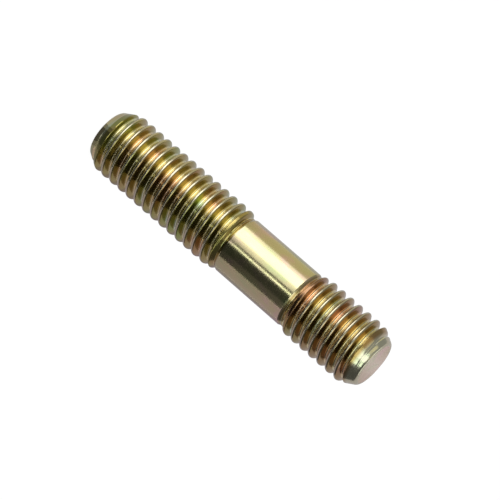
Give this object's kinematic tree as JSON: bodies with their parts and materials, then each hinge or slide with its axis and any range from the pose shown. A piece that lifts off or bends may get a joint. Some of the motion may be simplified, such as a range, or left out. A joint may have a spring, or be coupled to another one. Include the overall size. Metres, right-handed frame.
{
  "type": "double ended stud",
  "caption": "Double ended threaded stud: a long thread, a plain reduced shank and a short thread, with chamfered ends, in yellow zinc plated steel.",
  "frame": {"origin": "centre of the flat face at the end of the long thread, which the stud stands on", "axes": "+Z along the stud's axis, from the long thread's end up to the short thread's end"},
  "size_m": [0.0078, 0.0078, 0.04],
  "materials": {
    "yellow_zinc_steel": "yellow zinc plated, glossy, with faint green and pink tints"
  },
  "bodies": {
    "root": {"stud": "yellow_zinc_steel"}
  },
  "joints": []
}
